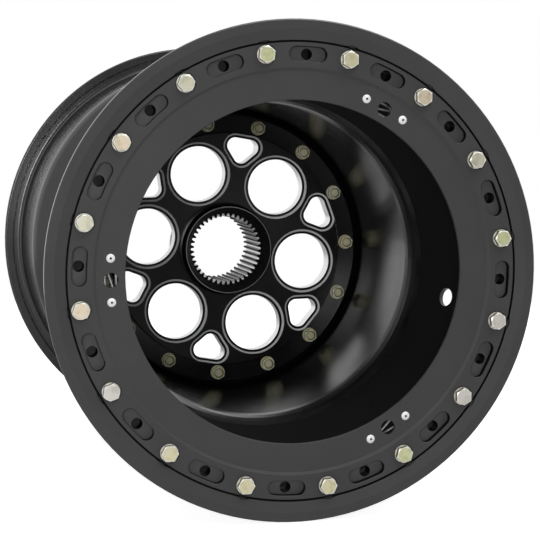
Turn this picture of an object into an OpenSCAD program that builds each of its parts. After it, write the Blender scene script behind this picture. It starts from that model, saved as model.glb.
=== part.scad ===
// Wide beadlock wheel: two spun halves bolted to a splined centre, with a bolted clamp ring.
// The wheel is drawn lying face up, with Z along its axle and the clamp ring on top, and is
// stood up at the end, so that its axle lies along Y and its face looks towards -Y.

/* [Rim] */
// Diameter of the two tyre bead seats
bead_seat_d = 380.6; // [379:0.2:382]
// Height of the clamp ring's edge and of the inner lip above the bead seats
lip_h = 17.7; // [16:0.1:21]
// Overall width, from the clamp bolts' heads to the back of the inner lip
overall_w = 461; // [440:1:490]
// Wall thickness of the two spun halves
wall_t = 4; // [3:0.25:5]

/* [Outer half] */
// Gap between the centre and the barrel beside it
barrel_gap = 4.1; // [3.6:0.1:6]
// Distance by which the barrel widens from the centre to its cone
barrel_flare = 4.3; // [3:0.1:6]
// Depth of the cone, from the bead ring's back to the barrel
cone_h = 114; // [104:1:124]
// Length of the straight collar that is welded to the bead ring
collar_h = 10; // [6:0.5:14]
// Bend radius where the cone meets the barrel
neck_bend_r = 80; // [60:5:110]
// Bend radius where the collar meets the cone
mouth_bend_r = 8; // [6:1:12]
// Bend radius of both halves at their joint, on the inside of the bend
joint_bend_r = 4; // [3:0.5:4.5]
// Diameter of the bead of sealant in the joint's groove
seal_d = 10; // [8:0.5:11]
// Inside diameter of the halves' joint flanges
joint_bore_d = 228; // [222:1:234]

/* [Inner half] */
// Width of the inner half, from the joint to the back of its lip
inner_half_w = 148.2; // [135:1:165]
// Width of the inner half's joint flange, up to the middle of its bend
joint_flange_w = 23.5; // [22:0.5:25]
// Depth of the step from the joint to the shoulder
shoulder_h = 36; // [30:1:42]
// Bend radius of the shoulder, on the tyre side
shoulder_bend_r = 10; // [8:1:14]
// Width of the tapered seat of the inner bead
seat_w = 30; // [24:1:34]
// Taper angle of the seat
seat_taper = 5; // [4:0.5:6]
// Bend radius where the seat's taper starts
seat_bend_r = 6; // [4:1:10]
// Fillet between the seat and the lip
lip_fillet_r = 5; // [3:0.5:7]
// Distance from the lip's edge in to the crease round it
crease_inset = 9; // [7:0.5:10]
// Radius of the crease's section
crease_r = 0.8; // [0.5:0.1:1.2]

/* [Valve hole] */
// Diameter of the valve hole
valve_d = 16; // [11:0.5:18]
// Depth of the valve hole below the bead ring's back
valve_h = 64.3; // [50:0.1:80]
// Angle of the valve hole, anticlockwise from +X as seen on the face
valve_angle = -11.3; // [-180:0.1:180]

/* [Bead ring] */
// Width of the bead ring between its bore and the bead seat
bead_ring_w = 22.1; // [20:0.1:25]
// Thickness of the bead ring's body
bead_ring_t = 13; // [11:0.5:15]
// Length of the bead seat in front of the bead ring's flange
spigot_h = 11; // [9:0.5:13]
// Height of the bead ring's flange above the bead seat
bead_flange_h = 13.7; // [11:0.1:15]
// Thickness of the bead ring's flange
bead_flange_t = 5.5; // [4:0.5:7]
// Gap between the bead seat and the outside of the shell that is welded behind it
shell_inset = 0.4; // [0.1:0.1:1]
// Leg of the weld between the bead ring and the shell
weld_leg = 4; // [3:0.5:5]
// Diameter of the plain holes between the clamp bolts
spare_hole_d = 9.4; // [8:0.2:11]

/* [Clamp ring] */
// Distance from the bead seat in to the inner edge of the bolt land
bolt_land_w = 21.7; // [20.5:0.1:23]
// Distance from the bolt land's inner edge in to the clamp ring's mouth
cover_flange_w = 26.2; // [24:0.1:29]
// Distance by which the clamp ring's thick part reaches inside the bead ring's bore
foot_w = 2.6; // [1:0.1:4]
// Thickness of the clamp ring at its bolt land
clamp_t = 6.6; // [5.5:0.1:8]
// Drop from the bolt land to the cover flange
cover_drop = 1.4; // [1:0.1:2]
// Width of the slope between the bolt land and the cover flange
cover_slope_w = 2.3; // [1.5:0.1:3]
// Thickness of the cover flange
cover_flange_t = 3.2; // [2.5:0.1:3.6]
// Distance from the bead seat in to the middle of the groove beside the outer band
groove_inset = 0.3; // [0:0.1:0.6]
// Width of the groove
groove_w = 1.7; // [1:0.1:2.2]
// Depth of the groove below the bolt land
groove_h = 2.4; // [1.5:0.1:3]
// Height of the outer band above the bolt land
band_rise = 2.2; // [1:0.1:3]
// Thickness of the outer band below the bolt land's level
band_under = 4.2; // [3:0.1:5]
// Width of the slope from the groove up to the outer band's crown
band_slope_w = 9; // [6:0.5:12]
// Corner radius of the outer band
band_edge_r = 1.6; // [1:0.1:2.2]
// Length of the slots between the clamp bolts
slot_len = 32; // [26:0.5:36]
// Width of the slots
slot_w = 12.2; // [10:0.2:14]
// Distance from the bead seat in to the circle on which the slots lie
slot_inset = 10.5; // [9.5:0.1:11.5]
// Chamfer round the top of each slot
slot_chamfer = 0.5; // [0.2:0.1:1]
// Diameter of the socket clearance that is cut into the outer band at each bolt
socket_d = 23; // [21:0.5:25]
// Height of the socket clearance's floor above the groove's floor
socket_step = 0.3; // [0.2:0.1:0.8]

/* [Clamp bolts] */
// Number of clamp bolts
clamp_bolts_n = 16; // [12:1:18]
// Distance from the bead seat in to the clamp bolt circle
clamp_inset = 9.7; // [9.2:0.1:10.6]
// Angle of the first clamp bolt, anticlockwise from +X as seen on the face
clamp_angle = 8.4; // [0:0.1:22]
// Thread diameter of the clamp bolts
clamp_bolt_d = 7.94; // [6:0.01:8.4]
// Width across the flats of the clamp bolts' heads
clamp_hex_w = 12.7; // [11:0.1:14]
// Height of the clamp bolts' heads
clamp_head_h = 5; // [4:0.1:6]
// Outside diameter of the clamp bolts' washers
clamp_washer_d = 15; // [14:0.1:16]
// Thickness of the clamp bolts' washers
clamp_washer_t = 1.2; // [0.8:0.1:1.6]
// Depth of the spot face below the bolt land
spot_h = 1.6; // [1:0.1:2]
// Gap round each washer in its spot face
spot_gap = 0.8; // [0.4:0.1:1]
// Outside diameter of the threaded inserts in the bead ring
insert_d = 10; // [9.6:0.1:10.4]

/* [Cover fastenings] */
// Number of cover fastenings round the cover flange
cover_n = 3; // [3]
// Distance from the clamp ring's mouth out to the circle of the cover fastenings
cover_margin = 11.6; // [10.5:0.1:12.5]
// Angle of the first cover fastening, anticlockwise from +X as seen on the face
cover_angle = 61; // [50:0.5:68]
// Diameter of each stud hole
stud_hole_d = 12.3; // [10:0.1:13]
// Distance between the two rivets of a fastening
rivet_pitch = 35.7; // [34:0.1:38]
// Shank diameter of the rivets
rivet_d = 3.2; // [2.8:0.1:3.6]
// Head diameter of the rivets
rivet_head_d = 7.1; // [6:0.1:8]
// Head height of the rivets
rivet_head_h = 1.2; // [0.8:0.1:1.6]
// Wire diameter of the springs
wire_d = 2; // [1.6:0.1:2.2]
// Distance by which the spring's middle stands off the cover flange
spring_bow = 4; // [2:0.1:5]
// Distance of the spring's outer strands from its middle
strand_gap = 4.6; // [4:0.1:5.2]
// Distance of the spring's two loops from its middle
spring_loop_y = 5.5; // [4:0.5:7]
// Slant of the spring's middle strand
strand_slant = 16; // [10:1:20]
// Clearance between a rivet and the spring's eye
eye_gap = 0.2; // [0.1:0.05:0.4]
// Length of the rivets' set tails behind the springs
tail_h = 2.4; // [2:0.1:3]
// Diameter of the bore in the rivets' heads
rivet_bore_d = 1.9; // [1.4:0.1:2.2]

/* [Centre] */
// Distance from the centre's bolt circle out to its edge
centre_margin = 9.6; // [9:0.1:10]
// Thickness of the centre at its bolt land
centre_land_t = 10; // [8:0.5:12]
// Distance from the joint flanges' bore out to the edge of the raised web
web_margin = 2; // [1:0.1:3]
// Height of the web above the bolt land, at the web's edge
web_rim_h = 6.8; // [5:0.1:9]
// Height of the web above the bolt land, beside the hub
web_hub_h = 2.7; // [1:0.1:6]
// Thickness of the web at its edge
web_t = 18.5; // [15:0.5:22]
// Clearance between the centre's pilot and the joint flanges
pilot_gap = 0.1; // [0.05:0.05:0.3]
// Wall of the hub's nose outside the spline's roots
nose_wall = 7.5; // [6:0.1:9]
// Height of the hub's nose above the bolt land
hub_nose_h = 18.8; // [16:0.2:22]
// Wall of the hub behind the web, outside the spline's roots
hub_wall = 10.4; // [8:0.2:13]
// Length of the hub
hub_len = 82; // [76:1:90]
// Number of spline teeth
spline_n = 42; // [36:1:48]
// Diameter over the spline's roots
spline_major_d = 71.2; // [70:0.2:73]
// Height of the spline's teeth
tooth_h = 3.2; // [2.6:0.1:3.8]
// Depth of the bevelled mouth in the hub's nose
spline_mouth_h = 12; // [9:0.5:15]
// Width of the rim that is left round the bevelled mouth
mouth_rim_w = 1.6; // [1:0.1:2.5]
// Length of the round relief between the bevelled mouth and the spline
relief_h = 3; // [2:0.1:5]
// Gap between the relief and the spline's roots
relief_gap = 0.8; // [0.4:0.1:1.2]

/* [Centre openings] */
// Number of round openings in the web
openings_n = 6; // [6]
// Width of web between the round openings' chamfers and the web's edge
opening_rim_gap = 4.5; // [3:0.1:6]
// Width of web between the round openings' chamfers and the hub's nose
opening_hub_gap = 5; // [4:0.1:7]
// Angle of the first round opening, anticlockwise from +X as seen on the face
opening_angle = 50.3; // [0:0.1:60]
// Width of the ledge round each opening
ledge_w = 2.4; // [1.5:0.1:3]
// Depth of the ledge below the web's face
ledge_h = 2.2; // [2:0.1:3]
// Chamfer round each ledge
ledge_chamfer = 1.6; // [1:0.1:1.9]
// Width of web between the three-cornered openings' chamfers and the web's edge
tri_gap = 0.5; // [0.4:0.1:1.5]
// Distance between a three-cornered opening's outer and inner corners' centres
tri_len = 8.9; // [7:0.1:10]
// Half of the distance between the outer corners' centres
tri_half_w = 7.8; // [6.5:0.1:8.5]
// Corner radius of the three-cornered openings
tri_corner_r = 8.1; // [7:0.1:8.8]

/* [Centre bolts] */
// Number of bolts that join the centre and the two halves
centre_bolts_n = 15; // [12:1:18]
// Distance from the joint flanges' bore out to the centre bolt circle
bolt_margin = 11.1; // [10.5:0.1:11.6]
// Angle of the first centre bolt, anticlockwise from +X as seen on the face
centre_bolt_angle = 2.3; // [0:0.1:24]
// Thread diameter of the centre bolts
centre_bolt_d = 7.94; // [6:0.01:8.2]
// Width across the flats of the nuts
nut_hex_w = 11.1; // [10.4:0.1:12]
// Height of the nuts
nut_h = 6.5; // [5.5:0.1:8]
// Outside diameter of the nuts' washers
nut_washer_d = 14.2; // [13:0.1:15]
// Thickness of the nuts' washers
nut_washer_t = 1.2; // [0.8:0.1:1.6]
// Distance by which a bolt's end lies below the top of its nut
bolt_end_h = 0.6; // [0.2:0.1:1.2]
// Width across the flats of the centre bolts' heads
centre_hex_w = 12.7; // [11:0.1:13]
// Height of the centre bolts' heads
centre_head_h = 5; // [4:0.1:6]

/* [Fits] */
// Radial clearance of each bolt in its plain holes
hole_gap = 0.25; // [0.1:0.05:0.4]
// Radial clearance between threads, and round each insert and rivet
fit_gap = 0.03; // [0.02:0.01:0.1]

/* [Hidden] */
$fn = 144;

// Levels along the axle, from the clamp bolts' heads down to the back of the inner lip
top_z = overall_w / 2;
land_z = top_z - clamp_head_h - clamp_washer_t + spot_h;
bead_z = land_z - clamp_t;
cover_z = land_z - cover_drop;
spring_z = cover_z - cover_flange_t;
ring_back_z = bead_z - spigot_h - bead_flange_t;
back_z = -overall_w / 2;
joint_z = back_z + inner_half_w;
seat_land_z = joint_z + wall_t;
centre_land_z = seat_land_z + centre_land_t;
nose_z = centre_land_z + hub_nose_h;
hub_back_z = nose_z - hub_len;
lip_z = back_z + wall_t;

// Radii of the rim's outside and of the rings, which follow the bead seats
bead_r = bead_seat_d / 2;
lip_r = bead_r + lip_h;
clamp_r = bead_r - clamp_inset;
slot_r = bead_r - slot_inset;
groove_r = bead_r - groove_inset;
bolt_land_r = bead_r - bolt_land_w;
mouth_r = bolt_land_r - cover_flange_w;
cover_r = mouth_r + cover_margin;
bead_bore_r = bead_r - bead_ring_w;
shell_r = bead_r - shell_inset - wall_t;

// Radii of the centre and of the barrel round it, which follow the joint flanges' bore
joint_bore_r = joint_bore_d / 2;
centre_bolt_r = joint_bore_r + bolt_margin;
centre_r = centre_bolt_r + centre_margin;
barrel_back_r = centre_r + barrel_gap;
barrel_front_r = barrel_back_r + barrel_flare;
inner_root_r = joint_bore_r + joint_flange_w;
web_edge_r = joint_bore_r + web_margin;
pilot_r = joint_bore_r - pilot_gap;

// Radii of the hub, which follow the spline
spline_r = spline_major_d / 2;
tooth_r = spline_r - tooth_h;
relief_r = spline_r + relief_gap;
nose_r = spline_r + nose_wall;
hub_r = spline_r + hub_wall;

// Radii of the bolts' plain holes
bolt_hole_r = clamp_bolt_d / 2 + hole_gap;
centre_hole_r = centre_bolt_d / 2 + hole_gap;

// The round openings fill the web between the hub's nose and the web's edge, and the
// three-cornered ones end beside that edge
opening_in_r = nose_r + opening_hub_gap;
opening_out_r = web_edge_r - opening_rim_gap;
opening_circle_r = (opening_in_r + opening_out_r) / 2;
opening_r = (opening_out_r - opening_in_r) / 2 - ledge_chamfer - ledge_w;
tri_circle_r = web_edge_r - tri_gap - ledge_chamfer - ledge_w - tri_corner_r;

// Chamfer on turned edges and on the ends of bolts, and the reach of a cut beyond a face
edge = 0.8;
past = 1;

// Chamfer on hexagon heads: its height, and its radius at the top as a share of the width across
// the flats, as it is turned a little inside them
hex_edge = 0.8;
hex_top = 0.47;
hex_round = 0.6;

// Step by which round corners in a profile are drawn, and the excess of a round end over the
// straight sides that it closes, which makes the two cross
arc_step = 6;
swell = 0.02;

// Step by which the centre's small fillets are drawn
fillet_step = 30;

// Sides of the springs' wire, and the step by which its turns are drawn
wire_sides = 10;
wire_step = 20;

// Fillets of the centre: where its web meets the nose, the bolt land and the hub behind it, and
// the width of the slope from its pilot to the web's back
nose_fillet_w = 3;
land_fillet = 0.4;
hub_fillet = 6;
pilot_land_w = 8;
pilot_slope_w = 6;

// Slope of the centre's dished web, and its level at a radius
web_in_r = nose_r + nose_fillet_w;
web_slope = atan((web_hub_h - web_rim_h) / (web_edge_r - web_in_r));
function web_z(r) = centre_land_z + web_rim_h + (web_edge_r - r) * tan(web_slope);

// Half of the angle of a tooth space at the spline's roots and tips, as shares of the pitch, and
// the share of the teeth's height that the lead-in at the hub's back takes off
root_half = 0.17;
tip_half = 0.36;
lead_share = 0.6;

// Slope of the outer half's cone, and its inside radius at a depth below the bead ring
cone_slope = atan((shell_r - barrel_front_r) / (cone_h - collar_h));
function cone_r(h) = shell_r - (h - collar_h) * tan(cone_slope);

// Places children at n equal angles on a circle
module ring_of(n, r, first) {
    for (i = [0 : n - 1])
        rotate([0, 0, first + 360 * i / n]) translate([r, 0, 0]) children();
}

// Stands a piece up, so that its top looks towards -Y
module stand() {
    rotate([90, 0, 0]) children();
}

// Points along an arc about c, from angle a0 to angle a1
function arc(c, r, a0, a1, step = arc_step) =
    let (n = ceil(abs(a1 - a0) / step))
    [for (k = [0 : n]) c + r * [cos(a0 + (a1 - a0) * k / n), sin(a0 + (a1 - a0) * k / n)]];

// Direction, heading and signed turn along a path of points
function ahead(p, i) = (p[i + 1] - p[i]) / norm(p[i + 1] - p[i]);
function left(v) = [-v[1], v[0]];
function heading(p, i) = atan2(ahead(p, i)[1], ahead(p, i)[0]);
function turn(p, i) =
    let (a = heading(p, i) - heading(p, i - 1))
    a > 180 ? a - 360 : a < -180 ? a + 360 : a;

// Points of a path with a bend of radius bends[i] at each inner point, shifted t to its left
function bent(p, bends, t) = [
    for (i = [0 : len(p) - 1])
        if (i == 0) p[i] + left(ahead(p, i)) * t
        else if (i == len(p) - 1) p[i] + left(ahead(p, i - 1)) * t
        else
            let (
                a = turn(p, i),
                hand = sign(a),
                along = ahead(p, i - 1),
                mid = p[i] + (left(along) * hand - along * tan(abs(a) / 2)) * bends[i],
                first = heading(p, i - 1) - 90 * hand
            )
            each arc(mid, bends[i] - hand * t, first, first + a)
];

function reversed(list) = [for (i = [len(list) - 1 : -1 : 0]) list[i]];

// Hexagonal head or nut with its corners turned off at the top
module hex_body(across, h) {
    intersection() {
        cylinder(h = h, d = across / cos(30), $fn = 6);
        rotate_extrude()
            polygon([[0, 0], [hex_round * across, 0], [hex_round * across, h - hex_edge],
                     [hex_top * across, h], [0, h]]);
    }
}

// Flat washer that lies on z = 0
module washer(d, bore, t) {
    difference() {
        cylinder(h = t, d = d);
        translate([0, 0, -past]) cylinder(h = t + 2 * past, d = bore);
    }
}

// Tool for one slot: it follows the ring between two round ends and is chamfered at z = 0
module slot_tool(depth) {
    half_angle = (slot_len - slot_w) / slot_r * 90 / PI;
    side = slot_w / 2;
    mouth = side + slot_chamfer;
    end_r = side + swell;
    rotate_extrude(angle = 2 * half_angle, start = -half_angle)
        translate([slot_r, 0])
            polygon([[-side, -depth], [side, -depth], [side, -slot_chamfer], [mouth, 0],
                     [mouth, past], [-mouth, past], [-mouth, 0], [-side, -slot_chamfer]]);
    for (a = [-half_angle, half_angle])
        rotate([0, 0, a]) translate([slot_r, 0, 0]) rotate_extrude()
            polygon([[0, -depth], [end_r, -depth], [end_r, -slot_chamfer],
                     [mouth + swell, 0], [mouth + swell, past], [0, past]]);
}

// Section of the clamp ring: cover flange, bolt land, groove and raised outer band
module clamp_section() {
    foot_r = bead_bore_r - foot_w;
    band_r = groove_r + groove_w / 2;
    band_bottom = land_z - band_under;
    band_top = land_z + band_rise;
    half_edge = edge / 2;
    e = band_edge_r;
    difference() {
        polygon([
            [mouth_r, spring_z + half_edge], [mouth_r + half_edge, spring_z],
            [foot_r - (spring_z - bead_z), spring_z], [foot_r, bead_z],
            [bead_r + half_edge, bead_z], [bead_r + half_edge, band_bottom],
            each arc([lip_r - e, band_bottom + e], e, -90, 0),
            each arc([lip_r - e, band_top - e], e, 0, 90),
            [band_r + band_slope_w, band_top], [band_r, land_z + half_edge], [band_r, land_z],
            [bolt_land_r, land_z], [bolt_land_r - cover_slope_w, cover_z],
            [mouth_r + half_edge, cover_z], [mouth_r, cover_z - half_edge]
        ]);
        translate([band_r - groove_w, land_z - groove_h]) square([groove_w, groove_h + band_rise]);
    }
}

module clamp_ring() color([0.26, 0.26, 0.27]) stand() {
    difference() {
        rotate_extrude() clamp_section();
        ring_of(clamp_bolts_n, clamp_r, clamp_angle) {
            translate([0, 0, bead_z - past]) cylinder(h = clamp_t + 2 * past, r = bolt_hole_r);
            translate([0, 0, land_z - spot_h])
                cylinder(h = spot_h + past, r = clamp_washer_d / 2 + spot_gap);
        }
        // Socket clearance, cut only outside the groove's inner wall and a little less deep
        difference() {
            ring_of(clamp_bolts_n, clamp_r, clamp_angle)
                translate([0, 0, land_z - groove_h + socket_step])
                    cylinder(h = groove_h + 2 * band_rise, d = socket_d);
            translate([0, 0, bead_z]) cylinder(h = clamp_t + 3 * band_rise, r = groove_r);
        }
        ring_of(clamp_bolts_n, 0, clamp_angle + 180 / clamp_bolts_n)
            translate([0, 0, land_z]) slot_tool(clamp_t + past);
        ring_of(cover_n, cover_r, cover_angle) translate([0, 0, spring_z - past]) {
            cylinder(h = cover_flange_t + 2 * past, d = stud_hole_d);
            for (s = [-1, 1])
                translate([0, s * rivet_pitch / 2, 0])
                    cylinder(h = cover_flange_t + 2 * past, r = rivet_d / 2 + fit_gap);
        }
    }
}

// Ring that carries the outer bead: the shell is welded to its back by a fillet on the tyre side
module bead_ring() color([0.2, 0.2, 0.21]) stand() {
    in_r = bead_bore_r;
    body_z = bead_z - bead_ring_t;
    weld_r = shell_r + wall_t;
    e = bead_flange_t / 2;
    difference() {
        rotate_extrude() {
            polygon([
                [in_r, body_z + edge], [in_r + edge, body_z], [shell_r, body_z], [shell_r, ring_back_z],
                each arc([bead_r + bead_flange_h - e, ring_back_z + e], e, -90, 90),
                [bead_r, ring_back_z + bead_flange_t],
                [bead_r, bead_z - edge], [bead_r - edge, bead_z],
                [in_r + edge, bead_z], [in_r, bead_z - edge]
            ]);
            polygon([[weld_r, ring_back_z + e], each arc([weld_r, ring_back_z], weld_leg, -90, 0),
                     [weld_r + weld_leg, ring_back_z + e]]);
        }
        ring_of(clamp_bolts_n, clamp_r, clamp_angle)
            translate([0, 0, body_z - past])
                cylinder(h = bead_ring_t + 2 * past, r = insert_d / 2 + fit_gap);
        ring_of(clamp_bolts_n, slot_r, clamp_angle + 180 / clamp_bolts_n)
            translate([0, 0, body_z - past]) cylinder(h = bead_ring_t + 2 * past, d = spare_hole_d);
    }
}

// Paths of the two spun halves: the outer half's inside and the inner half's tyre side
outer_path = [
    [shell_r, ring_back_z], [shell_r, ring_back_z - collar_h],
    [barrel_front_r, ring_back_z - cone_h], [barrel_back_r, seat_land_z],
    [joint_bore_r, seat_land_z]
];
outer_bends = [0, mouth_bend_r, neck_bend_r, joint_bend_r, 0];
well_r = bead_r - seat_w * tan(seat_taper);
lip_round = wall_t / 2;
inner_path = [
    [joint_bore_r, joint_z], [inner_root_r, joint_z], [well_r, joint_z - shoulder_h],
    [well_r, lip_z + seat_w], [bead_r, lip_z], [lip_r - lip_round, lip_z]
];
inner_bends = [0, joint_bend_r + wall_t, shoulder_bend_r, seat_bend_r, lip_fillet_r, 0];

module outer_half() color([0.08, 0.08, 0.085]) stand() {
    difference() {
        rotate_extrude() polygon(concat(
            bent(outer_path, outer_bends, 0), reversed(bent(outer_path, outer_bends, wall_t))
        ));
        ring_of(centre_bolts_n, centre_bolt_r, centre_bolt_angle)
            translate([0, 0, joint_z - past]) cylinder(h = wall_t + 2 * past, r = centre_hole_r);
        rotate([0, 0, valve_angle]) translate([cone_r(valve_h), 0, ring_back_z - valve_h])
            rotate([0, 90 + cone_slope, 0]) translate([0, 0, -wall_t])
                cylinder(h = 3 * wall_t, d = valve_d);
    }
}

module inner_half() color([0.1, 0.1, 0.105]) stand() {
    lip_c = [lip_r - lip_round, lip_z - lip_round];
    difference() {
        rotate_extrude() difference() {
            polygon(concat(
                bent(inner_path, inner_bends, 0),
                arc(lip_c, lip_round, 90 - arc_step, arc_step - 90),
                reversed(bent(inner_path, inner_bends, -wall_t))
            ));
            translate([lip_r - crease_inset, lip_z]) circle(crease_r);
        }
        ring_of(centre_bolts_n, centre_bolt_r, centre_bolt_angle)
            translate([0, 0, joint_z - wall_t - past]) cylinder(h = wall_t + 2 * past, r = centre_hole_r);
    }
}

// Bead of sealant in the groove between the two halves, on the tyre side
module joint_seal() color([0.72, 0.72, 0.7]) stand() {
    rotate_extrude() difference() {
        translate([barrel_back_r - joint_bend_r + seal_d / 4, joint_z]) circle(d = seal_d);
        polygon(concat(bent(outer_path, outer_bends, wall_t + fit_gap), [[0, joint_z], [0, ring_back_z]]));
        polygon(concat(bent(inner_path, inner_bends, fit_gap), [[0, back_z], [0, joint_z]]));
    }
}

// Void of the internal spline, one tooth space for each tooth
module spline_space(h) {
    pitch = 360 / spline_n;
    corners = [
        [-root_half, spline_r], [root_half, spline_r], [tip_half, tooth_r], [1 - tip_half, tooth_r]
    ];
    linear_extrude(height = h)
        polygon([for (i = [0 : spline_n - 1], k = corners)
            let (a = (i + k[0]) * pitch) k[1] * [cos(a), sin(a)]]);
}

// Middles of a three-cornered opening's corners, with the outer two at x = 0
tri_corners = [[-tri_len, 0], [0, -tri_half_w], [0, tri_half_w]];

// Rounded three-cornered outline with corner radius r
module tri_outline(r) {
    polygon([
        for (i = [0 : 2])
            let (a = tri_corners[i], b = tri_corners[(i + 1) % 3], out = -left((b - a) / norm(b - a)))
            each [a + out * r, b + out * r]
    ]);
    for (c = tri_corners) translate(c) circle(r + swell);
}

// Tool for a three-cornered opening: through bore, ledge and chamfer, with z = 0 on the web
module tri_tool() {
    ledge_r = tri_corner_r + ledge_w;
    top_r = ledge_r + ledge_chamfer + past;
    translate([0, 0, -2 * web_t]) linear_extrude(height = 2 * web_t) tri_outline(tri_corner_r);
    translate([0, 0, -ledge_h]) linear_extrude(height = ledge_h + past) tri_outline(ledge_r);
    for (c = tri_corners) translate([c[0], c[1], -ledge_chamfer])
        cylinder(h = ledge_chamfer + past, r1 = ledge_r + swell, r2 = top_r + swell);
    for (i = [0 : 2]) {
        a = tri_corners[i];
        b = tri_corners[(i + 1) % 3];
        translate(a) rotate([90, 0, atan2(b[1] - a[1], b[0] - a[0]) + 90])
            linear_extrude(height = norm(b - a))
                polygon([[0, -ledge_chamfer], [-ledge_r, -ledge_chamfer], [-top_r, past], [0, past]]);
    }
}

// Tool for a round opening: through bore, ledge and chamfer, with z = 0 on the web
module round_tool() {
    ledge_r = opening_r + ledge_w;
    rotate_extrude()
        polygon([
            [0, -2 * web_t], [opening_r, -2 * web_t], [opening_r, -ledge_h], [ledge_r, -ledge_h],
            [ledge_r, -ledge_chamfer], [ledge_r + ledge_chamfer + past, past], [0, past]
        ]);
}

// Section of the centre: hub nose, dished web, bolt land, pilot and hub back
module centre_section() {
    core_r = tooth_r - past;
    bevel = land_fillet;
    web_back_z = web_z(web_edge_r) - web_t;
    pilot_z = joint_z - wall_t;
    polygon([
        [core_r, nose_z], [nose_r - edge, nose_z], [nose_r, nose_z - edge],
        each arc([web_in_r, web_z(web_in_r) + nose_fillet_w], nose_fillet_w, 180, 270, fillet_step),
        [web_edge_r - bevel, web_z(web_edge_r - bevel)], [web_edge_r, web_z(web_edge_r) - bevel],
        [web_edge_r, centre_land_z + land_fillet], [web_edge_r + land_fillet, centre_land_z],
        [centre_r - edge, centre_land_z], [centre_r, centre_land_z - edge],
        [centre_r, seat_land_z + edge], [centre_r - edge, seat_land_z],
        [pilot_r, seat_land_z], [pilot_r, pilot_z + edge], [pilot_r - edge, pilot_z],
        [pilot_r - pilot_land_w, pilot_z], [pilot_r - pilot_land_w - pilot_slope_w, web_back_z],
        each arc([hub_r + hub_fillet, web_back_z - hub_fillet], hub_fillet, 90, 180, fillet_step),
        [hub_r, hub_back_z + 2 * edge], [hub_r - 2 * edge, hub_back_z], [core_r, hub_back_z]
    ]);
}

module wheel_centre() color([0.06, 0.06, 0.065]) stand() {
    rim_r = nose_r - mouth_rim_w;
    spline_z = nose_z - spline_mouth_h - relief_h;
    lead_h = relief_gap + lead_share * tooth_h;
    difference() {
        rotate_extrude() centre_section();
        translate([0, 0, hub_back_z - past]) spline_space(hub_len + 2 * past);
        // Bevelled mouth and relief in front of the spline, and the lead-in at its back
        rotate_extrude()
            polygon([
                [0, spline_z], [relief_r, spline_z], [relief_r, nose_z - spline_mouth_h],
                [rim_r, nose_z], [rim_r, nose_z + past], [0, nose_z + past]
            ]);
        translate([0, 0, hub_back_z - past])
            cylinder(h = lead_h + past, r1 = relief_r + past, r2 = relief_r - lead_h);
        for (i = [0 : openings_n - 1]) {
            rotate([0, 0, opening_angle + 360 * i / openings_n])
                translate([opening_circle_r, 0, web_z(opening_circle_r)])
                    rotate([0, web_slope, 0]) round_tool();
            rotate([0, 0, opening_angle + 360 * (i + 0.5) / openings_n])
                translate([tri_circle_r, 0, web_z(tri_circle_r)])
                    rotate([0, web_slope, 0]) tri_tool();
        }
        ring_of(centre_bolts_n, centre_bolt_r, centre_bolt_angle)
            translate([0, 0, seat_land_z - past])
                cylinder(h = centre_land_t + 2 * past, r = centre_hole_r);
    }
}

// Directions of one corner of each clamp bolt's head, as tightening has left them
head_turns = [0, 0, 30, 30, 25, 10, 0, 45, 10, 20, 0, 0, 5, 15, 30, 35];

// Angle by which each centre bolt is turned, and the shift that turns its nut otherwise
function twist_of(i) = (i * 37 + 11) % 60;
nut_twist = 5;

module clamp_bolts() color([0.78, 0.72, 0.48]) stand() {
    head_z = top_z - clamp_head_h;
    end_z = bead_z - bead_ring_t;
    for (i = [0 : clamp_bolts_n - 1]) {
        place = clamp_angle + 360 * i / clamp_bolts_n;
        rotate([0, 0, place]) translate([clamp_r, 0, 0]) {
            translate([0, 0, head_z]) rotate([0, 0, head_turns[i % len(head_turns)] - place])
                hex_body(clamp_hex_w, clamp_head_h);
            translate([0, 0, end_z + edge]) cylinder(h = head_z - end_z - edge, d = clamp_bolt_d);
            translate([0, 0, end_z])
                cylinder(h = edge, d1 = clamp_bolt_d - 2 * edge, d2 = clamp_bolt_d);
        }
    }
}

module clamp_washers() color([0.74, 0.7, 0.5]) stand() {
    ring_of(clamp_bolts_n, clamp_r, clamp_angle)
        translate([0, 0, land_z - spot_h])
            washer(clamp_washer_d, clamp_bolt_d + 2 * hole_gap, clamp_washer_t);
}

module clamp_inserts() color([0.6, 0.58, 0.5]) stand() {
    ring_of(clamp_bolts_n, clamp_r, clamp_angle) translate([0, 0, bead_z - bead_ring_t])
        washer(insert_d, clamp_bolt_d + 2 * fit_gap, bead_ring_t);
}

module centre_bolts() color([0.66, 0.62, 0.4]) stand() {
    under_z = joint_z - wall_t;
    end_z = centre_land_z + nut_washer_t + nut_h - bolt_end_h;
    for (i = [0 : centre_bolts_n - 1])
        rotate([0, 0, centre_bolt_angle + 360 * i / centre_bolts_n]) translate([centre_bolt_r, 0, 0]) {
            translate([0, 0, under_z]) rotate([180, 0, twist_of(i)]) hex_body(centre_hex_w, centre_head_h);
            translate([0, 0, under_z]) cylinder(h = end_z - under_z - edge, d = centre_bolt_d);
            translate([0, 0, end_z - edge])
                cylinder(h = edge, d1 = centre_bolt_d, d2 = centre_bolt_d - 2 * edge);
        }
}

module centre_washers() color([0.62, 0.6, 0.45]) stand() {
    ring_of(centre_bolts_n, centre_bolt_r, centre_bolt_angle)
        translate([0, 0, centre_land_z])
            washer(nut_washer_d, centre_bolt_d + 2 * hole_gap, nut_washer_t);
}

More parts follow.
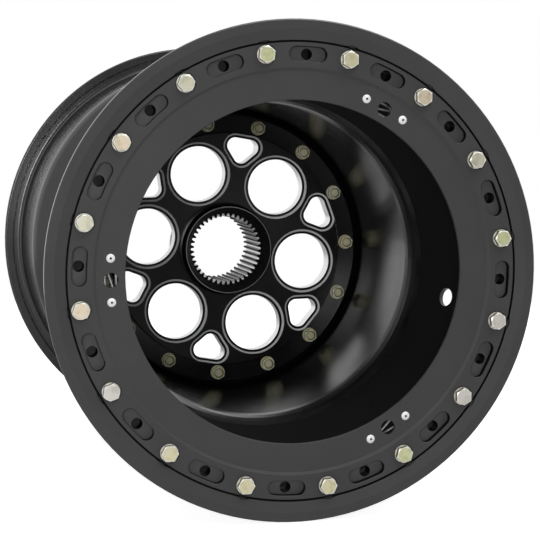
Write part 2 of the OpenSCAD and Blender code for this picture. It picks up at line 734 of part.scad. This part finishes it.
module centre_nuts() color([0.62, 0.6, 0.38]) stand() {
    base_z = centre_land_z + nut_washer_t;
    bore_r = centre_bolt_d / 2 + fit_gap;
    for (i = [0 : centre_bolts_n - 1])
        rotate([0, 0, centre_bolt_angle + 360 * i / centre_bolts_n]) translate([centre_bolt_r, 0, base_z])
            difference() {
                rotate([0, 0, twist_of(i + nut_twist)]) hex_body(nut_hex_w, nut_h);
                translate([0, 0, -past]) cylinder(h = nut_h + 2 * past, r = bore_r);
                translate([0, 0, nut_h - edge])
                    cylinder(h = edge + past, r1 = bore_r, r2 = bore_r + edge + past);
            }
}

// Round wire along a route that nowhere runs along z
function unit(v) = v / norm(v);
module wire(route, r) {
    n = wire_sides;
    last = len(route) - 1;
    rings = [
        for (i = [0 : last])
            let (
                run = unit(route[min(i + 1, last)] - route[max(i - 1, 0)]),
                side = unit(cross(run, [0, 0, 1])),
                up = cross(side, run)
            )
            for (j = [0 : n - 1]) route[i] + r * (cos(360 * j / n) * side + sin(360 * j / n) * up)
    ];
    walls = [
        for (i = [0 : last - 1], j = [0 : n - 1])
            let (k = (j + 1) % n)
            [i * n + j, i * n + k, (i + 1) * n + k, (i + 1) * n + j]
    ];
    ends = [[for (j = [n - 1 : -1 : 0]) j], [for (j = [0 : n - 1]) last * n + j]];
    polyhedron(points = rings, faces = concat(walls, ends));
}

// Route of an S-shaped spring with an eye at each end: x is outwards, y along the ring, and the
// cover flange's back is z = 0. The second half is the first, turned through half a circle.
function at_level(points, z) = [for (p = points) [p[0], p[1], z]];
function spring_route() =
    let (
        eye_r = (rivet_d + wire_d) / 2 + eye_gap,
        eye_y = rivet_pitch / 2,
        eye_z = -wire_d / 2,
        low_z = eye_z - spring_bow,
        mid_x = spring_loop_y * tan(strand_slant),
        loop_r = (strand_gap - mid_x) / 2,
        half = concat(
            at_level(arc([0, eye_y], eye_r, 300, 0, wire_step), eye_z),
            [[strand_gap, (eye_y + spring_loop_y) / 2, (eye_z + low_z) / 2]],
            at_level(arc([mid_x + loop_r, -spring_loop_y], loop_r, 0, -180, wire_step), low_z)
        )
    )
    concat(half, reversed([for (p = half) [-p[0], -p[1], p[2]]]));

module cover_spring(i) color([0.78, 0.78, 0.8]) stand() {
    rotate([0, 0, cover_angle + 360 * i / cover_n])
        translate([cover_r, 0, spring_z]) wire(spring_route(), wire_d / 2);
}
module cover_spring_1() { cover_spring(0); }
module cover_spring_2() { cover_spring(1); }
module cover_spring_3() { cover_spring(2); }

// Blind rivet with a domed head on the cover flange and a set tail behind the spring's eye
tail_flare = 1;
head_bore_h = 1;
module spring_rivet(i) color([0.86, 0.86, 0.87]) stand() {
    grip = cover_flange_t + wire_d;
    tail_r = rivet_d / 2 + tail_flare;
    dome_r = (pow(rivet_head_d / 2, 2) + pow(rivet_head_h, 2)) / (2 * rivet_head_h);
    side = i % 2 == 0 ? -1 : 1;
    rotate([0, 0, cover_angle + 360 * floor(i / 2) / cover_n])
        translate([cover_r, side * rivet_pitch / 2, cover_z]) difference() {
            union() {
                intersection() {
                    translate([0, 0, rivet_head_h - dome_r]) sphere(r = dome_r);
                    cylinder(h = rivet_head_h, d = rivet_head_d);
                }
                translate([0, 0, -grip]) cylinder(h = grip, d = rivet_d);
                translate([0, 0, -grip - tail_h]) cylinder(h = tail_h, r1 = rivet_d / 2, r2 = tail_r);
            }
            translate([0, 0, rivet_head_h - head_bore_h])
                cylinder(h = head_bore_h + past, d = rivet_bore_d);
        }
}
module spring_rivet_1() { spring_rivet(0); }
module spring_rivet_2() { spring_rivet(1); }
module spring_rivet_3() { spring_rivet(2); }
module spring_rivet_4() { spring_rivet(3); }
module spring_rivet_5() { spring_rivet(4); }
module spring_rivet_6() { spring_rivet(5); }

clamp_ring();
bead_ring();
outer_half();
inner_half();
wheel_centre();
clamp_bolts();
clamp_washers();
clamp_inserts();
centre_bolts();
centre_washers();
centre_nuts();
joint_seal();
cover_spring_1();
cover_spring_2();
cover_spring_3();
spring_rivet_1();
spring_rivet_2();
spring_rivet_3();
spring_rivet_4();
spring_rivet_5();
spring_rivet_6();
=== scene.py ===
from math import atan2, cos, degrees, hypot, radians, sin

import bpy
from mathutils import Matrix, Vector


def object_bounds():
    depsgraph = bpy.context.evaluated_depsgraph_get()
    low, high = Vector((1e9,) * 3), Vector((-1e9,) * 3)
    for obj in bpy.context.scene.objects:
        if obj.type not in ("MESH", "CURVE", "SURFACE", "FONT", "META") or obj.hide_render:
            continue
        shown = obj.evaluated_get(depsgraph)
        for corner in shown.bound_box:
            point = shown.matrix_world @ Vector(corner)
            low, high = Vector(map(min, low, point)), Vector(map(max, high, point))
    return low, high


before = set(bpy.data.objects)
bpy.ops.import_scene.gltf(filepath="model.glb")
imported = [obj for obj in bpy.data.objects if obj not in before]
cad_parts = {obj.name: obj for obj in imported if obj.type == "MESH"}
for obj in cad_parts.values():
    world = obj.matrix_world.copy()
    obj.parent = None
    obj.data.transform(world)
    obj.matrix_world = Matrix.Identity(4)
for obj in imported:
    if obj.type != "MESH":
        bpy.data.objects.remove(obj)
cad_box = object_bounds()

# The wheel's frame: the axle lies along Y, the clamp ring's face looks towards -Y, and Z is up
MM = 0.001
FACE_Y = cad_box[0][1]
FLOOR_Z = cad_box[0][2]

# Places that the finishes follow, in millimetres: radii about the axle and depths behind the
# face, and radii about a fastener's own axis
SPLINE_R = 36
SPLINE_TIP_R = 33.2
SPLINE_DEPTH = 295.5
NOSE_EDGE_R = 42.2
NOSE_EDGE_DEPTH = 282
WEB_R = (46.4, 115.7)
WEB_BACK_DEPTH = 310.4
CONE_BACK_DEPTH = 126
RING_EDGE_R = 206.2
GROOVE_R = (188.6, 191.2)
GROOVE_DEPTH = (5, 8)
SLOT_R = (172.5, 187)
SLOT_DEPTH = (5.2, 12)
SPARE_HOLE_R = 4.9
HEAD_RIM_DEPTH = 0.9
HEAD_BACK_DEPTH = 4.9
NUT_BORE_R = 4.9
NUT_TOP_DEPTH = 292.2
RIVET_BORE_R = 1.0

# Slants of faces, from 0 on a wall that runs along the axle to 1 on a face square to it: the
# most for a wall and for the clamp ring's edge, and the least and most for a chamfer and for
# the rim of a bolt's head or nut
WALL_SLANT = 0.5
RING_EDGE_SLANT = 0.9
CHAMFER_SLANT = (0.3, 0.95)
HEAD_RIM_SLANT = (0.2, 0.97)

# Circles of fasteners: their number, the first one's angle in degrees and their radius; and
# the number of wires and rivets of the cover's fastenings
CLAMP_CIRCLE = (16, 8.4, 180.6)
SPARE_CIRCLE = (16, 19.65, 179.8)
CENTRE_CIRCLE = (15, 2.3, 125.1)
WIRES = 3
RIVETS = 6

# Tints of the zinc, and the tint of each clamp bolt and of each centre bolt's nut, counted from
# the first one's angle
CLAMP_TINTS = {
    "green_gold": (0.72, 0.74, 0.42),
    "yellow_gold": (0.80, 0.75, 0.48),
    "pink_gold": (0.86, 0.73, 0.54),
    "pale_gold": (0.76, 0.74, 0.56),
    "silver": (0.76, 0.72, 0.66),
}
CLAMP_ORDER = (
    "green_gold", "pale_gold", "pink_gold", "yellow_gold",
    "green_gold", "pale_gold", "pink_gold", "pale_gold",
    "pink_gold", "silver", "yellow_gold", "yellow_gold",
    "yellow_gold", "green_gold", "silver", "silver",
)
NUT_TINTS = {
    "brown_gold_nut": (0.76, 0.60, 0.34),
    "grey_nut": (0.62, 0.62, 0.57),
    "orange_nut": (0.80, 0.55, 0.32),
    "olive_nut": (0.68, 0.64, 0.28),
    "silver_nut": (0.74, 0.70, 0.52),
    "green_nut": (0.66, 0.72, 0.34),
}
NUT_ORDER = (
    "brown_gold_nut", "grey_nut", "orange_nut", "olive_nut", "silver_nut",
    "olive_nut", "olive_nut", "brown_gold_nut", "olive_nut", "silver_nut",
    "olive_nut", "green_nut", "green_nut", "green_nut", "grey_nut",
)

# Grain of the finishes, in patches a metre, and the height of their bumps, in metres
COAT_MOTTLING = 24
COAT_GLOSS_DRIFT = 60
COAT_PEEL = 1400
COAT_PEEL_HEIGHT = 0.0002
TOOL_MARKS = 300
TOOL_MARK_HEIGHT = 0.00006
ZINC_DRIFT = 160
ZINC_FILM = 600
ZINC_FILM_HEIGHT = 0.0001
SEALANT_SKIN = 120
SEALANT_HEIGHT = 0.0006
FLOOR_MOTTLING = 3

# Camera, fitted to the photograph: direction, distance from the face's centre, focal length and
# the place of the face's centre in a picture of 540 by 540 pixels
PHOTO_PX = 540
AZIMUTH = radians(-13.33)
ELEVATION = radians(4.87)
DISTANCE = 1.29455
FOCAL_PX = 1576.99
FACE_PX = (298.95, 273.92)
SENSOR = 36.0
CLIP_END = 50

# Studio: the level of the light from all round, the level that shiny faces see in front, the
# directions along Y between which it rises to 1, and the floor
WHITE = (1, 1, 1, 1)
WORLD_LEVEL = 0.36
FRONT_DIM = 0.12
FRONT_FADE = (-0.75, -0.2)
FLOOR_R = 1.6
FLOOR_CORNERS = 96
FLOOR_GAP = 0.5 * MM
FLOOR_LIFT = 0.85


def add_camera():
    """The camera stands where the photograph was taken from, level and without shift."""
    right = Vector((cos(AZIMUTH), sin(AZIMUTH), 0))
    ahead = Vector((-sin(AZIMUTH) * cos(ELEVATION), cos(AZIMUTH) * cos(ELEVATION), -sin(ELEVATION)))
    up = right.cross(ahead)
    scale = DISTANCE / FOCAL_PX
    across = (FACE_PX[0] - PHOTO_PX / 2) * scale
    down = (FACE_PX[1] - PHOTO_PX / 2) * scale
    place = Vector((0, FACE_Y, 0)) - right * across + up * down - ahead * DISTANCE
    data = bpy.data.cameras.new("camera")
    data.sensor_width = SENSOR
    data.lens = FOCAL_PX / PHOTO_PX * SENSOR
    data.clip_end = CLIP_END
    camera = bpy.data.objects.new("camera", data)
    camera.location = place
    camera.rotation_euler = (-ahead).to_track_quat("Z", "Y").to_euler()
    bpy.context.scene.collection.objects.link(camera)
    bpy.context.scene.camera = camera


def new_material(name):
    """A new material with nothing but its output and a Principled shader."""
    material = bpy.data.materials.new(name)
    material.use_nodes = True
    tree = material.node_tree
    tree.nodes.clear()
    out = tree.nodes.new("ShaderNodeOutputMaterial")
    shader = tree.nodes.new("ShaderNodeBsdfPrincipled")
    tree.links.new(shader.outputs[0], out.inputs["Surface"])
    return material, tree, shader


def noise(tree, scale, detail=3.0, roughness=0.5, stretch=(1, 1, 1)):
    """Noise over the object's own coordinates; scale is in patches a metre."""
    place = tree.nodes.new("ShaderNodeTexCoord")
    mapping = tree.nodes.new("ShaderNodeMapping")
    mapping.inputs["Scale"].default_value = stretch
    texture = tree.nodes.new("ShaderNodeTexNoise")
    texture.inputs["Scale"].default_value = scale
    texture.inputs["Detail"].default_value = detail
    texture.inputs["Roughness"].default_value = roughness
    tree.links.new(place.outputs["Object"], mapping.inputs["Vector"])
    tree.links.new(mapping.outputs["Vector"], texture.inputs["Vector"])
    return texture.outputs["Fac"]


def spread(tree, fac, low, high, span=(0.3, 0.7)):
    """A factor mapped from its span to the numbers from low to high."""
    node = tree.nodes.new("ShaderNodeMapRange")
    node.inputs["From Min"].default_value = span[0]
    node.inputs["From Max"].default_value = span[1]
    node.inputs["To Min"].default_value = low
    node.inputs["To Max"].default_value = high
    tree.links.new(fac, node.inputs["Value"])
    return node.outputs["Result"]


def ramp(tree, fac, stops):
    """A factor mapped to colours, given as (place, colour) pairs."""
    node = tree.nodes.new("ShaderNodeValToRGB")
    while len(node.color_ramp.elements) < len(stops):
        node.color_ramp.elements.new(0.5)
    for element, (place, colour) in zip(node.color_ramp.elements, stops):
        element.position = place
        element.color = (*colour, 1)
    tree.links.new(fac, node.inputs["Fac"])
    return node.outputs["Color"]


def bump(tree, shader, height, strength, distance):
    """Bump from a height; distance is in metres, at full strength."""
    node = tree.nodes.new("ShaderNodeBump")
    node.inputs["Strength"].default_value = strength
    node.inputs["Distance"].default_value = distance
    tree.links.new(height, node.inputs["Height"])
    tree.links.new(node.outputs["Normal"], shader.inputs["Normal"])


def grey(value):
    """A neutral colour."""
    return (value, value, value)


def powder_coat(name, value, roughness, specular=0.5, peel=0.12, uneven=0.03):
    """Satin powder coat: nearly even colour, a fine orange peel and slightly uneven gloss."""
    material, tree, shader = new_material(name)
    mottling = noise(tree, COAT_MOTTLING, detail=4)
    colour = ramp(tree, mottling, [(0.3, grey(value * 0.94)), (0.7, grey(value * 1.06))])
    tree.links.new(colour, shader.inputs["Base Color"])
    drift = noise(tree, COAT_GLOSS_DRIFT)
    gloss = spread(tree, drift, roughness - uneven, roughness + uneven)
    tree.links.new(gloss, shader.inputs["Roughness"])
    shader.inputs["Specular IOR Level"].default_value = specular
    grain = noise(tree, COAT_PEEL, detail=2)
    bump(tree, shader, grain, strength=peel, distance=COAT_PEEL_HEIGHT)
    return material


def machined(name, value, roughness, metallic=1.0):
    """Bare machined metal with fine tool marks, which are closest together along the axle."""
    material, tree, shader = new_material(name)
    marks = noise(tree, TOOL_MARKS, detail=2, roughness=0.6, stretch=(1, 6, 1))
    colour = ramp(tree, marks, [(0.25, grey(value * 0.82)), (0.75, grey(value))])
    tree.links.new(colour, shader.inputs["Base Color"])
    gloss = spread(tree, marks, roughness, roughness + 0.12)
    tree.links.new(gloss, shader.inputs["Roughness"])
    shader.inputs["Metallic"].default_value = metallic
    bump(tree, shader, marks, strength=0.2, distance=TOOL_MARK_HEIGHT)
    return material


def zinc(name, colour, roughness, metallic=0.6):
    """Chromate over zinc: its tint drifts over each piece, and the film is uneven."""
    material, tree, shader = new_material(name)
    drift = noise(tree, ZINC_DRIFT, detail=2)
    film = noise(tree, ZINC_FILM)
    pale = tuple(0.6 * c + 0.4 * max(colour) for c in colour)
    deep = tuple(0.82 * c for c in colour)
    tint = ramp(tree, drift, [(0.3, deep), (0.5, colour), (0.75, pale)])
    tree.links.new(tint, shader.inputs["Base Color"])
    gloss = spread(tree, film, roughness, roughness + 0.15)
    tree.links.new(gloss, shader.inputs["Roughness"])
    shader.inputs["Metallic"].default_value = metallic
    bump(tree, shader, film, strength=0.15, distance=ZINC_FILM_HEIGHT)
    return material


def sealant():
    """Cured sealant, slightly uneven and dull."""
    material, tree, shader = new_material("sealant")
    skin = noise(tree, SEALANT_SKIN, detail=4)
    colour = ramp(tree, skin, [(0.3, grey(0.42)), (0.7, grey(0.56))])
    tree.links.new(colour, shader.inputs["Base Color"])
    shader.inputs["Roughness"].default_value = 0.6
    bump(tree, shader, skin, strength=0.4, distance=SEALANT_HEIGHT)
    return material


class Spot:
    """Where a face of a CAD node lies, in millimetres, and how it stands to the axle."""

    def __init__(self, face):
        middle = face.center
        self.place = (middle.x / MM, middle.z / MM)
        self.radius = hypot(*self.place)
        self.depth = (middle.y - FACE_Y) / MM
        self.slant = abs(face.normal.y)
        self.inward = face.normal.x * self.place[0] + face.normal.z * self.place[1] < 0


def use(node, pick=None, **finishes):
    """Gives a CAD node these finishes in place of its own; pick names the one of each face."""
    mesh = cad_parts[node].data
    mesh.materials.clear()
    for material in finishes.values():
        mesh.materials.append(material)
    if pick:
        slots = {name: i for i, name in enumerate(finishes)}
        for face in mesh.polygons:
            face.material_index = slots[pick(Spot(face))]


def nearest(place, circle):
    """The fastener on a circle that lies nearest to a place, and the distance from its axis."""
    count, first, radius = circle
    i = round((degrees(atan2(place[1], place[0])) - first) * count / 360) % count
    angle = radians(first + 360 * i / count)
    return i, hypot(place[0] - radius * cos(angle), place[1] - radius * sin(angle))


def within(value, limits):
    """Whether a value lies between two limits."""
    return limits[0] < value < limits[1]


def centre_finish(spot):
    """Bare metal on the spline's flanks and roots, the nose's edge, and the openings' walls and
    chamfers, where the chamfers and the nose's edge are painted light as a painted highlight too;
    painted shade on the bevelled mouth and the teeth's tips.
    """
    if spot.radius < SPLINE_R and spot.slant < WALL_SLANT and spot.depth > SPLINE_DEPTH:
        return "spline" if spot.radius > SPLINE_TIP_R else "shade"
    in_web = within(spot.radius, WEB_R) and spot.depth < WEB_BACK_DEPTH
    if in_web and spot.slant < CHAMFER_SLANT[1]:
        return "bore" if spot.slant < CHAMFER_SLANT[0] else "chamfer"
    on_nose = spot.radius > NOSE_EDGE_R and spot.depth < NOSE_EDGE_DEPTH
    if on_nose and within(spot.slant, CHAMFER_SLANT):
        return "nose_edge"
    if spot.radius < NOSE_EDGE_R and spot.depth < SPLINE_DEPTH:
        return "shade"
    return "coat"


def ring_finish(spot):
    """Smoother coat on the clamp ring's outer edge, and painted shade on its slots' walls and in
    its groove.
    """
    if spot.radius > RING_EDGE_R and spot.slant < RING_EDGE_SLANT:
        return "edge"
    in_slot = within(spot.radius, SLOT_R) and within(spot.depth, SLOT_DEPTH)
    if in_slot and spot.slant < WALL_SLANT:
        return "shade"
    if within(spot.radius, GROOVE_R) and within(spot.depth, GROOVE_DEPTH):
        return "shade"
    return "coat"


def outer_half_finish(spot):
    """A lighter, less shiny copy of the coat on the inside of the cone behind the clamp ring:
    painted light where light falls in through the mouth.
    """
    return "cone" if spot.inward and spot.depth < CONE_BACK_DEPTH else "coat"


def bead_ring_finish(spot):
    """Painted shade on the walls of the plain holes between the clamp bolts."""
    in_hole = nearest(spot.place, SPARE_CIRCLE)[1] < SPARE_HOLE_R
    return "shade" if in_hole and spot.slant < WALL_SLANT else "coat"


def clamp_bolt_finish(spot):
    """Each head's own tint, with a painted highlight on its rim and painted shade on its sides."""
    if spot.depth < HEAD_RIM_DEPTH and within(spot.slant, HEAD_RIM_SLANT):
        return "rim"
    if spot.depth < HEAD_BACK_DEPTH and spot.slant < HEAD_RIM_SLANT[0]:
        return "side"
    return CLAMP_ORDER[nearest(spot.place, CLAMP_CIRCLE)[0]]


def nut_finish(spot):
    """Each nut's own tint, with a painted highlight on its rim and painted shade in its bore."""
    i, off_axis = nearest(spot.place, CENTRE_CIRCLE)
    if off_axis < NUT_BORE_R:
        return "bore"
    if spot.depth < NUT_TOP_DEPTH and within(spot.slant, HEAD_RIM_SLANT):
        return "rim"
    return NUT_ORDER[i]


def rivet_finish(node):
    """What picks the finish on one rivet: metal, with painted shade in its hollow middle."""
    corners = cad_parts[node].bound_box
    axis = [sum(corner[k] for corner in corners) / len(corners) / MM for k in (0, 2)]

    def pick(spot):
        off_axis = hypot(spot.place[0] - axis[0], spot.place[1] - axis[1])
        return "shade" if off_axis < RIVET_BORE_R else "metal"

    return pick


def dress_shells(shade):
    """Finishes of the two rings, the two barrel halves and the centre."""
    use(
        "clamp_ring",
        ring_finish,
        coat=powder_coat("ring_coat", 0.042, roughness=0.55, specular=0.4),
        edge=powder_coat("ring_edge_coat", 0.042, roughness=0.18, specular=0.8, peel=0.03),
        shade=shade,
    )
    use(
        "bead_ring",
        bead_ring_finish,
        # The bead ring's coat, painted lighter than the clamp ring's as painted light on the slot
        # floors, to make up for the shade of the slots' walls
        coat=powder_coat("bead_ring_coat_painted_lighter", 0.062, roughness=0.5),
        shade=shade,
    )
    use(
        "outer_half",
        outer_half_finish,
        # The outer half's coat, painted darker than the inner half's as painted shade in the
        # barrel's inside
        coat=powder_coat("outer_coat_painted_darker", 0.005, 0.2, specular=0.72, peel=0.03, uneven=0.015),
        # The inside of the cone: a lighter, less shiny copy, painted light where light falls in
        # through the mouth
        cone=powder_coat("cone_coat_painted_lighter", 0.012, roughness=0.4, specular=0.15, peel=0.03),
    )
    use(
        "inner_half",
        coat=powder_coat("inner_coat", 0.012, 0.25, specular=1.0, peel=0.01, uneven=0.015),
    )
    use(
        "wheel_centre",
        centre_finish,
        coat=powder_coat("centre_coat", 0.003, roughness=0.22, specular=0.4, peel=0.05),
        spline=machined("spline_metal", 0.7, roughness=0.3),
        bore=machined("bore_metal", 0.9, roughness=0.3),
        # The openings' chamfers: bare machined edges, painted nearly white and not metallic as a
        # painted highlight
        chamfer=machined("chamfer_metal_and_painted_highlight", 0.95, roughness=0.35, metallic=0.0),
        # The nose's edge: a bare machined edge, painted light and hardly metallic as a painted
        # highlight
        nose_edge=machined("nose_edge_metal_and_painted_highlight", 0.6, roughness=0.4, metallic=0.2),
        shade=shade,
    )
    use("joint_seal", skin=sealant())


def dress_fasteners(shade):
    """Finishes of the bolts, nuts, washers, inserts, wires and rivets."""
    # Pale zinc: the washers' own plating, and a painted highlight on the rims of the clamp bolts'
    # heads
    pale_zinc_and_painted_highlight = zinc("pale_zinc_and_painted_highlight", (0.9, 0.89, 0.8), roughness=0.3, metallic=0.4)
    use(
        "clamp_bolts",
        clamp_bolt_finish,
        **{name: zinc(name, tint, roughness=0.32) for name, tint in CLAMP_TINTS.items()},
        rim=pale_zinc_and_painted_highlight,
        # The heads' sides: a dark copy of the zinc as painted shade
        side=zinc("painted_shade_zinc", (0.2, 0.18, 0.11), roughness=0.4),
    )
    use("clamp_washers", plating=pale_zinc_and_painted_highlight)
    use(
        "centre_nuts",
        nut_finish,
        **{name: zinc(name, tint, roughness=0.4, metallic=0.1) for name, tint in NUT_TINTS.items()},
        # The nuts' rims: a pale copy of the zinc as a painted highlight
        rim=zinc("nut_rim_painted_highlight", (0.92, 0.90, 0.72), roughness=0.3, metallic=0.1),
        # The nuts' bores: a dark copy of the zinc as painted shade
        bore=zinc("nut_bore_painted_shade", (0.16, 0.15, 0.09), roughness=0.5),
    )
    use("centre_washers", plating=zinc("washer_zinc", (0.6, 0.57, 0.36), 0.4, metallic=0.2))
    use("centre_bolts", plating=zinc("bolt_zinc", (0.62, 0.59, 0.38), 0.45, metallic=0.1))
    use("clamp_inserts", metal=machined("insert_metal", 0.4, roughness=0.4))
    wire = machined("spring_metal", 0.75, roughness=0.25)
    for i in range(1, WIRES + 1):
        use(f"cover_spring_{i}", metal=wire)
    rivet = machined("rivet_metal", 0.95, roughness=0.45, metallic=0.3)
    for i in range(1, RIVETS + 1):
        node = f"spring_rivet_{i}"
        use(node, rivet_finish(node), metal=rivet, shade=shade)


def dress():
    """Every CAD node gets its finishes."""
    # Painted shade: a near-black, hardly shiny coat put on walls, hollows and holes where the wheel
    # lies in shade
    shade = powder_coat("painted_shade_coat", 0.004, roughness=0.6, specular=0.1)
    dress_shells(shade)
    dress_fasteners(shade)


def add_floor():
    """White floor that is lifted to plain white for the camera, but for the wheel's own shadow."""
    bpy.ops.mesh.primitive_circle_add(
        vertices=FLOOR_CORNERS,
        radius=FLOOR_R,
        fill_type="NGON",
        location=(0, 0, FLOOR_Z - FLOOR_GAP),
    )
    floor = bpy.context.object
    floor.name = "floor"
    material, tree, shader = new_material("floor_paint")
    mottling = noise(tree, FLOOR_MOTTLING)
    colour = ramp(tree, mottling, [(0.3, grey(0.8)), (0.7, grey(0.82))])
    tree.links.new(colour, shader.inputs["Base Color"])
    shader.inputs["Roughness"].default_value = 0.9
    shader.inputs["Specular IOR Level"].default_value = 0.0
    path = tree.nodes.new("ShaderNodeLightPath")
    lift = tree.nodes.new("ShaderNodeMath")
    lift.operation = "MULTIPLY"
    lift.inputs[1].default_value = FLOOR_LIFT
    tree.links.new(path.outputs["Is Camera Ray"], lift.inputs[0])
    shader.inputs["Emission Color"].default_value = WHITE
    tree.links.new(lift.outputs[0], shader.inputs["Emission Strength"])
    floor.data.materials.append(material)


def add_area(name, place, size, power):
    """A soft box that faces the wheel's middle."""
    data = bpy.data.lights.new(name, "AREA")
    data.shape = "RECTANGLE"
    data.size, data.size_y = size
    data.energy = power
    lamp = bpy.data.objects.new(name, data)
    lamp.location = place
    lamp.rotation_euler = Vector(place).to_track_quat("Z", "Y").to_euler()
    bpy.context.scene.collection.objects.link(lamp)


def add_surround():
    """A world that is white to the camera, dim in front for shiny faces, and lights the rest."""
    world = bpy.data.worlds.new("studio")
    bpy.context.scene.world = world
    world.use_nodes = True
    tree = world.node_tree
    tree.nodes.clear()
    out = tree.nodes.new("ShaderNodeOutputWorld")
    path = tree.nodes.new("ShaderNodeLightPath")
    place = tree.nodes.new("ShaderNodeTexCoord")
    split = tree.nodes.new("ShaderNodeSeparateXYZ")
    tree.links.new(place.outputs["Generated"], split.inputs[0])
    mirrored = tree.nodes.new("ShaderNodeBackground")
    level = spread(tree, split.outputs["Y"], FRONT_DIM, 1.0, FRONT_FADE)
    tree.links.new(level, mirrored.inputs["Strength"])
    seen = tree.nodes.new("ShaderNodeBackground")
    lit = tree.nodes.new("ShaderNodeBackground")
    lit.inputs["Strength"].default_value = WORLD_LEVEL
    shiny = tree.nodes.new("ShaderNodeMath")
    shiny.operation = "MAXIMUM"
    tree.links.new(path.outputs["Is Glossy Ray"], shiny.inputs[0])
    tree.links.new(path.outputs["Is Transmission Ray"], shiny.inputs[1])
    by_mirror = tree.nodes.new("ShaderNodeMixShader")
    tree.links.new(shiny.outputs[0], by_mirror.inputs["Fac"])
    tree.links.new(lit.outputs[0], by_mirror.inputs[1])
    tree.links.new(mirrored.outputs[0], by_mirror.inputs[2])
    by_eye = tree.nodes.new("ShaderNodeMixShader")
    tree.links.new(path.outputs["Is Camera Ray"], by_eye.inputs["Fac"])
    tree.links.new(by_mirror.outputs[0], by_eye.inputs[1])
    tree.links.new(seen.outputs[0], by_eye.inputs[2])
    tree.links.new(by_eye.outputs[0], out.inputs["Surface"])
    for background in (seen, lit, mirrored):
        background.inputs["Color"].default_value = WHITE


def light():
    """Plain studio light: the surround, a soft box above and a smaller one at the left in front."""
    add_surround()
    add_area("top_box", place=(0.7, -1.1, 2.1), size=(1.8, 1.2), power=28)
    add_area("front_box", place=(-0.8, -2.5, 0.35), size=(0.8, 0.6), power=18)
    bpy.context.scene.view_settings.view_transform = "Standard"


add_camera()
dress()
add_floor()
light()
